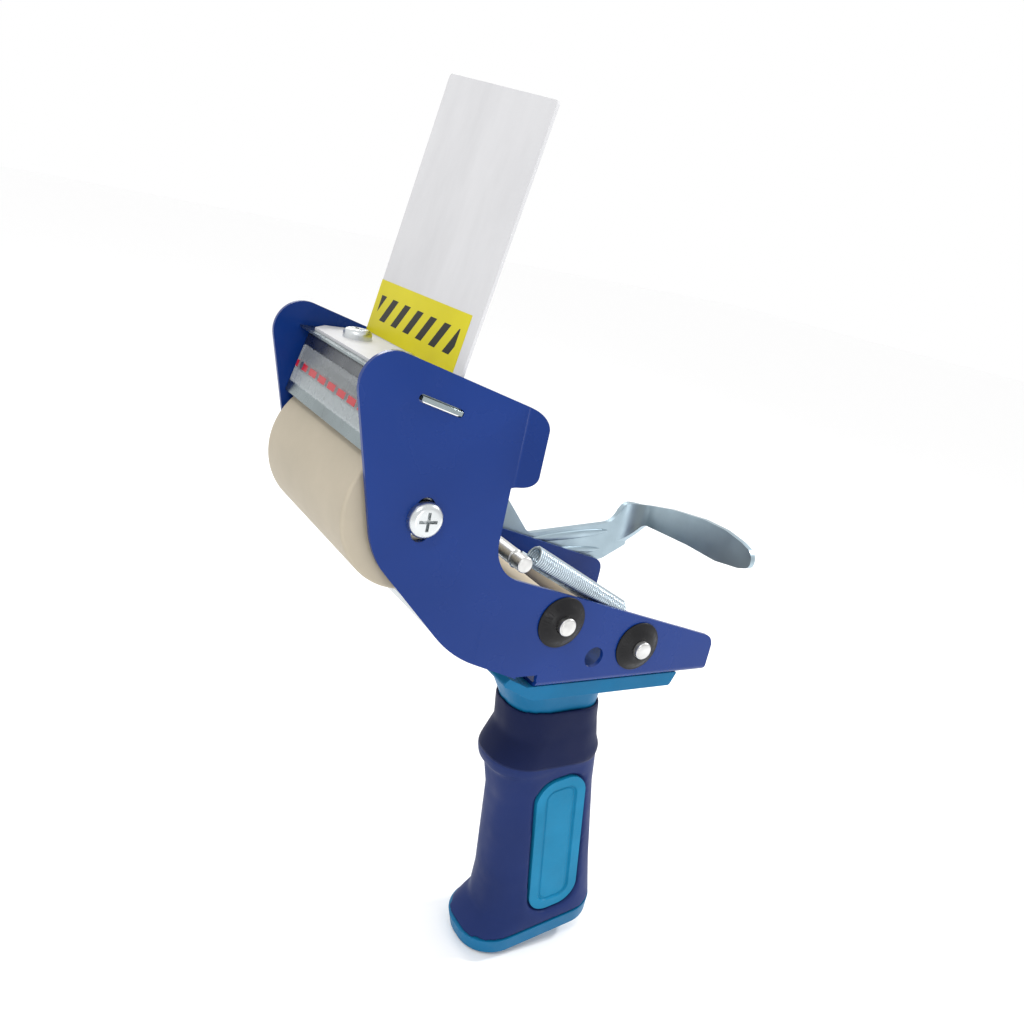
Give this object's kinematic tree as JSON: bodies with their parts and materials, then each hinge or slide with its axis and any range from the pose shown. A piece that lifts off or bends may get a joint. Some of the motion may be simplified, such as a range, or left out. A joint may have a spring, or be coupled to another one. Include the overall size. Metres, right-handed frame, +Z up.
{
  "type": "tape gun dispenser",
  "caption": "Hand-held tape gun with a folded steel channel, rubber roller, toothed blade, upright wiper flap, sprung thumb brake and pistol grip.",
  "frame": {"origin": "centre of the cross hole in the tail, at the mid-plane of the channel", "axes": "+X towards the tail and the brake tongue, +Y along the cross hole towards the brake lever's side, +Z up, away from the handle"},
  "size_m": [0.1907, 0.0944, 0.3547],
  "materials": {
    "blue_powder_coat": "glossy powder coat",
    "turquoise_plastic": "satin",
    "navy_grip": "matte, finely textured",
    "zinc": "zinc plated",
    "zinc_lever": "zinc plated",
    "beige_rubber": "matte",
    "core_plastic": "matte",
    "beige_plastic": "satin",
    "shaft_steel": "turned",
    "black_cap": "satin black",
    "spring_steel": "bright",
    "blade_steel": "bright",
    "clear_plastic": "clear",
    "flap_plastic": "translucent",
    "yellow_sticker": "printed sticker"
  },
  "bodies": {
    "tape_gun": {"axle_screws": "zinc", "axle_washers": "zinc", "blade": "blade_steel", "blade_bracket": "zinc", "blade_guard": "clear_plastic", "channel_base": "blue_powder_coat", "clamp_screws": "zinc", "flap_label": "yellow_sticker", "grip_panel_far": "turquoise_plastic", "grip_panel_near": "turquoise_plastic", "grip_sleeve": "navy_grip", "guard_rivets": "black_cap", "guide_strip": "zinc", "handle_core": "turquoise_plastic", "handle_screws": "zinc", "lever_washer": "zinc", "pivot_cap": "black_cap", "pivot_shaft": "shaft_steel", "rear_cross_shaft": "shaft_steel", "roller_axle": "zinc", "screw_spacers": "zinc", "shaft_caps": "black_cap", "side_plate_far": "blue_powder_coat", "side_plate_near": "blue_powder_coat", "tension_spring": "spring_steel", "top_plate": "zinc", "weld_nuts": "zinc", "wiper_flap": "flap_plastic"},
    "roller": {"roller_rubber": "beige_rubber", "roller_core": "core_plastic", "roller_bushes": "core_plastic"},
    "lever": {"brake_lever": "zinc_lever", "brake_bar": "shaft_steel"},
    "front_support": {"front_sleeve": "beige_plastic"},
    "rear_support": {"rear_sleeve": "beige_plastic"}
  },
  "joints": [
    {"name": "roller_spin", "type": "hinge", "parent": "tape_gun", "child": "roller", "pos_m": [-0.083, 0, 0.0551], "axis": [0, 1, 0], "continuous": true},
    {"name": "lever_press", "type": "hinge", "parent": "tape_gun", "child": "lever", "pos_m": [-0.0195, 0, 0.0158], "axis": [0, -1, 0], "range_deg": [0, 5], "stiffness_Nm_per_rad": 1, "springref_deg": -5.73, "deforming": ["tension_spring"]},
    {"name": "front_support_spin", "type": "hinge", "parent": "tape_gun", "child": "front_support", "pos_m": [-0.0195, 0, 0.0158], "axis": [0, 1, 0], "continuous": true},
    {"name": "rear_support_spin", "type": "hinge", "parent": "tape_gun", "child": "rear_support", "pos_m": [0.0199, 0, 0.0034], "axis": [0, 1, 0], "continuous": true}
  ]
}
